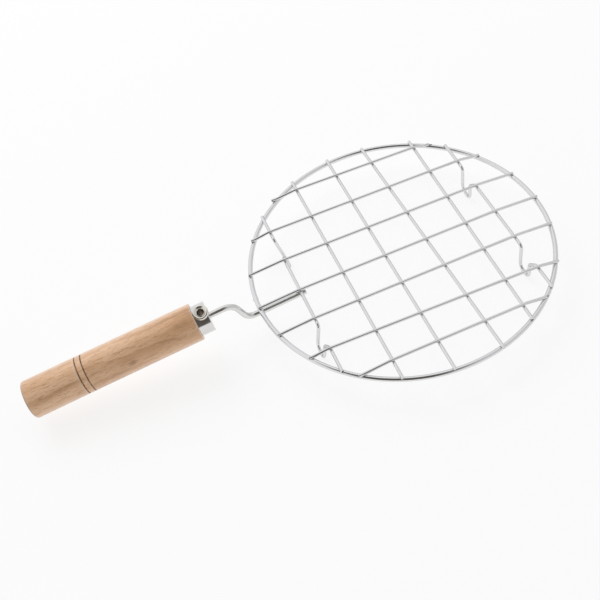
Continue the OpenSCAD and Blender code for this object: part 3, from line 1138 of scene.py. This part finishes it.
points, faces = turned_shell(grip_outline(), GRIP_SIDES, closed=False, shape=sanded_round)
height = points[:, 2]
# The lip mark paints a pale highlight beside each groove and at the shoulder.
lip_places = [butt_z - g + LIP_FROM_GROOVE for g in GROOVES_FROM_BUTT] + [FERRULE_LENGTH + 0.2 * MM]
grip_marks = {
    "char": np.exp(-((from_groove(height) / CHAR_HALF) ** 2)),
    "lip": sum(np.exp(-(((height - at) / LIP_HALF) ** 2)) for at in lip_places),
    # The butt is darkened here, partly as end grain and partly as painted shade.
    "end_grain_and_shade": np.clip((height - (butt_z - END_GRAIN_SHADE_FROM)) / END_GRAIN_SHADE_OVER, 0, 1),
}
grip = make_piece("grip", points, faces, grip_marks, beech, ["wood_handle"], handle_frame)
drill_rivet_hole(grip)
crisp(grip)
print("grip has", len(grip.data.polygons), "faces")

# %% [markdown]
# ## Polished steel
# The ferrule was pressed from sheet and polished while it turned, so its faint scratches run
# round it. Coordinates of radius and height, with no angle, make noise that does exactly that.
# The rivet is finished the same way. Inside its hole it is rougher and painted dark brown, as painted
# shade down the bore.

# %% Polished steel materials
CAP_METAL, RIVET_METAL = (0.74, 0.735, 0.72, 1), (0.8, 0.77, 0.7, 1)
# Painted shade: this dark brown stands for the shade deep inside the rivet's bore.
HOLE_SHADE_BROWN = (0.3, 0.24, 0.19, 1)
SCRATCHES = {"Lines Across": 5000.0, "Lines Along": 7000.0}
SCRATCH_DEPTH, SCRATCH_WOBBLE = 0.004 * MM, 0.4 * MM


def polished_steel(name, metal, lowest_rough, highest_rough):
    """Polished steel with scratches that run round the piece."""
    material, tree, shader = new_material(name)
    place = put(tree, "TexCoord").outputs["Object"]
    parts = put(tree, "SeparateXYZ", {0: place})
    flat = put(tree, "CombineXYZ", {"X": parts.outputs["X"], "Y": parts.outputs["Y"]}).outputs[0]
    radius = on_vectors(tree, "LENGTH", flat)
    height = weighted(tree, (parts.outputs["Z"], 1), (noise(tree, place, 300, 1), SCRATCH_WOBBLE))
    ringed = put(tree, "CombineXYZ", {"X": radius, "Y": radius, "Z": height}).outputs[0]
    scratches = grouped(tree, drawing_marks, {"Place": ringed} | SCRATCHES)
    smudge = grouped(tree, smudges, {"Place": place, "Spots per Metre": 240.0})
    rough = remapped(tree, smudge["Smudge"], 0, 1, lowest_rough, highest_rough)
    shade = remapped(tree, scratches["Streaks"], 0.3, 0.7, 0, 0.25)
    darker = tuple(c * 0.8 for c in metal[:3]) + (1,)
    connect(tree, shader, {
        "Base Color": mixed(tree, shade, metal, darker),
        "Metallic": 1.0,
        "Roughness": weighted(tree, (rough, 1), (smudge["Dust"], 0.08)),
        "Normal": bumped(tree, scratches["Height"], SCRATCH_DEPTH),
    })
    return material


ferrule_steel = polished_steel("ferrule_steel", CAP_METAL, 0.09, 0.17)
rivet_steel = polished_steel("rivet_steel", RIVET_METAL, 0.12, 0.22)
shaded_hole_steel = polished_steel("rivet_hole_painted_shade", HOLE_SHADE_BROWN, 0.3, 0.45)
print("polished steels made")

# %% [markdown]
# ## The ferrule
# A cap of thin sheet: its closed front has a hole for the rod, and its rounded edge comes from
# the press. Setting the rivet pushes the wall in a little, and that dent matters: its slopes
# catch the dark and the bright side of the room. The dent is modelled, not faked with bump.

# %% Make the ferrule
FERRULE_EDGE, ROD_HOLE_R = 0.6 * MM, 2.2 * MM
DENT_DEPTH, DENT_REACH = 0.45 * MM, 5.6 * MM
FERRULE_SIDES = 192

ferrule_corners = [
    (ROD_HOLE_R, 0), (FERRULE_R, 0), (FERRULE_R, FERRULE_LENGTH), (TENON_R, FERRULE_LENGTH),
    (TENON_R, FERRULE_WALL), (ROD_HOLE_R, FERRULE_WALL), (ROD_HOLE_R, 0.1 * MM),
]
ferrule_bends = [FERRULE_EDGE, 0.25 * MM, 0.25 * MM, 0.3 * MM, 0.15 * MM]
ferrule_outline = outline_of(ferrule_corners, ferrule_bends, 0.35 * MM)
points, faces = turned_shell(ferrule_outline, FERRULE_SIDES, closed=True)
to_rivet = handle_frame.inverted() @ rivet_frame
rivet_way = np.array(to_rivet.to_3x3() @ Vector((0, 0, 1)))
from_rivet = points - np.array((0, 0, RIVET_FROM_FRONT))
height_up = from_rivet @ rivet_way
sideways = np.linalg.norm(from_rivet - height_up[:, None] * rivet_way, axis=1)
dent = DENT_DEPTH * np.exp(-((sideways / DENT_REACH) ** 4)) * np.sign(height_up)
dent *= np.clip(np.abs(height_up) / FERRULE_R * 2 - 1, 0, 1)
points = points - dent[:, None] * rivet_way
ferrule = make_piece("ferrule_cap", points, faces, {}, ferrule_steel,
                     ["ferrule"], handle_frame)
drill_rivet_hole(ferrule)
crisp(ferrule)
print("ferrule has", len(ferrule.data.polygons), "faces")

# %% [markdown]
# ## The rod's hidden end
# Inside the tenon the rod is hammered flat and pierced for the rivet. It can't be seen, but a
# part that comes apart on the bench has it, so it is made as a plate with rounded corners.

# %% Make the flattened rod end
TANG_WIDTH, TANG_THICK, TANG_START, TANG_END, TANG_CORNER = (v * MM for v in (9, 1.4, 0.9, 11, 2.5))
across = rivet_axis.cross(to_butt)
half = TANG_WIDTH / 2
tang_corners = [(0, TANG_START), (half, TANG_START), (half, TANG_END),
                (-half, TANG_END), (-half, TANG_START), (-0.1 * MM, TANG_START)]
tang_bends = [0.5 * MM, TANG_CORNER, TANG_CORNER, 0.5 * MM]
tang_line = bent_line([Vector((x, y, 0)) for x, y in tang_corners], tang_bends, 0.6 * MM)
points = np.array([(p.x, p.y, z) for z in (-TANG_THICK / 2, TANG_THICK / 2) for p in tang_line])
tang_marks = {"straight": points, "heat": np.zeros(len(points))}
tang = make_piece("rod_flat_end", points, prism_faces(len(tang_line)), tang_marks, rod_steel,
                  place=placed(across, to_butt, across.cross(to_butt), handle_front))
drill_rivet_hole(tang)
crisp(tang, PLATE_CRISP_DEG)
print("the flat end is", TANG_WIDTH / MM, "mm wide")

# %% [markdown]
# ## The hollow rivet
# A tube whose ends are rolled over into round heads. From the hole outwards the surface goes
# over the tube's lip, through a hollow, up over the outer ring and down on the ferrule. The head
# follows the round ferrule a little, as soft metal does when it is pressed on.

# %% Make the rivet
BORE_R, UPPER_HEAD_R, LOWER_HEAD_R = 2.5 * MM, 5.6 * MM, 4.2 * MM
HEAD_TOP = FERRULE_R + 1.3 * MM
HEAD_SEAT = HEAD_TOP - 2.9 * MM
HOLLOW_DEPTH = 0.8 * MM
FOLLOW = 0.35
RIVET_SIDES = 96


def half_rivet(head_r):
    """Outline from the middle of the hole over one head and back down the tube."""
    hollow_r, ring_r = BORE_R + 0.25 * (head_r - BORE_R), BORE_R + 0.65 * (head_r - BORE_R)
    corners = [(BORE_R, 0), (BORE_R, HEAD_TOP - 0.6 * MM), (BORE_R + 0.3 * MM, HEAD_TOP - 0.3 * MM),
               (hollow_r, HEAD_TOP - HOLLOW_DEPTH), (ring_r, HEAD_TOP),
               (head_r - 0.4 * MM, HEAD_TOP - 0.1 * MM), (head_r, HEAD_TOP - 1.1 * MM),
               (head_r - 0.1 * MM, HEAD_SEAT), (RIVET_TUBE_R, HEAD_SEAT), (RIVET_TUBE_R, 0.1 * MM)]
    return outline_of(corners, [v * MM for v in (0.2, 0.12, 0.15, 0.3, 0.3, 0.4, 0.2, 0.1)], 0.25 * MM)


lower_half = half_rivet(LOWER_HEAD_R)[::-1] * (1, -1)
rivet_outline = np.vstack([half_rivet(UPPER_HEAD_R), lower_half[:-1]])


def pressed_on(radius, height, angle):
    """Lets the heads sag with the ferrule's curve, away from the handle's length."""
    fall = FERRULE_R - np.sqrt(FERRULE_R**2 - (radius * np.sin(angle)) ** 2)
    on_head = np.clip((np.abs(height) - HEAD_SEAT) / (HEAD_TOP - HEAD_SEAT), 0, 1)
    return radius + 0 * angle, height - np.sign(height) * fall * FOLLOW * on_head


points, faces = turned_shell(rivet_outline, RIVET_SIDES, closed=True, shape=pressed_on)
rivet = make_piece("rivet", points, faces, {}, rivet_steel,
                   ["hollow_rivet"], rivet_frame)
# Faces inside the bore get the material that is painted dark brown as shade.
rivet.data.materials.append(shaded_hole_steel)
for face in rivet.data.polygons:
    middle = face.center
    inside = math.hypot(middle.x, middle.y) < BORE_R + 0.1 * MM
    face.material_index = 1 if inside and abs(middle.z) < HEAD_TOP - 0.9 * MM else 0
print("rivet has", len(rivet.data.polygons), "faces")

# %% [markdown]
# The visual pieces must keep to the CAD model's box. The size of their own box is printed.

# %% Write the sizes and finish
low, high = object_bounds()
print("visual box in mm:", [round(side / MM, 1) for side in high - low])
